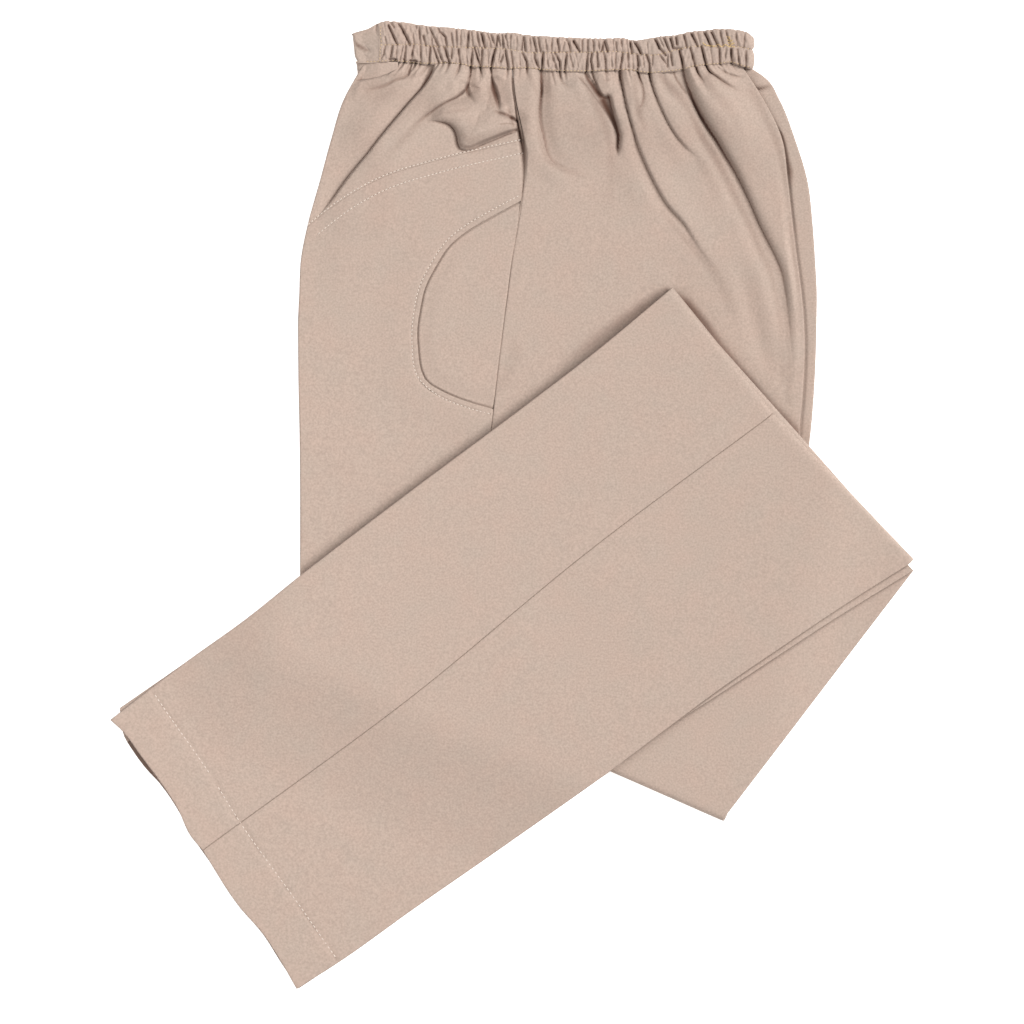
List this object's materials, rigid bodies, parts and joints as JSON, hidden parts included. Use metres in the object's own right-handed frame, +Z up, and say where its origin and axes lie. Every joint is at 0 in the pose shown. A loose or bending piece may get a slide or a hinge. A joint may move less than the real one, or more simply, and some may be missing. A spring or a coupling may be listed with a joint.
{
  "type": "folded scrub trousers",
  "caption": "Pull-on beige twill scrub trousers with a gathered elastic waist and a rounded side pocket, folded flat on their side with the legs turned up and back.",
  "frame": {"origin": "middle of the garment's outline in plan, at the surface that it lies on", "axes": "+Z up out of the surface, +Y towards the waist, -X towards the front crease of the thighs and the hems"},
  "size_m": [0.4554, 0.5516, 0.0158],
  "materials": {
    "twill_main": "warm beige poly-viscose twill, matt, with a fine diagonal weave",
    "twill_band": "the same twill gathered over two channels of elastic",
    "twill_inner": "the same twill, hidden inner layers"
  },
  "bodies": {
    "root": {"waistband_front": "twill_main", "waistband_elastic": "twill_band", "yoke_left": "twill_main", "front_left_thigh": "twill_main", "pocket_facing_left": "twill_main", "back_left_thigh": "twill_main", "front_left_knee": "twill_main", "back_left_knee": "twill_main", "front_left_shin": "twill_main", "back_left_shin": "twill_main", "yoke_right": "twill_main", "front_right_thigh": "twill_main", "back_right_thigh": "twill_main", "front_right_knee": "twill_main", "back_right_knee": "twill_main", "front_right_shin": "twill_main", "back_right_shin": "twill_main", "inner_layers": "twill_inner"}
  },
  "joints": []
}
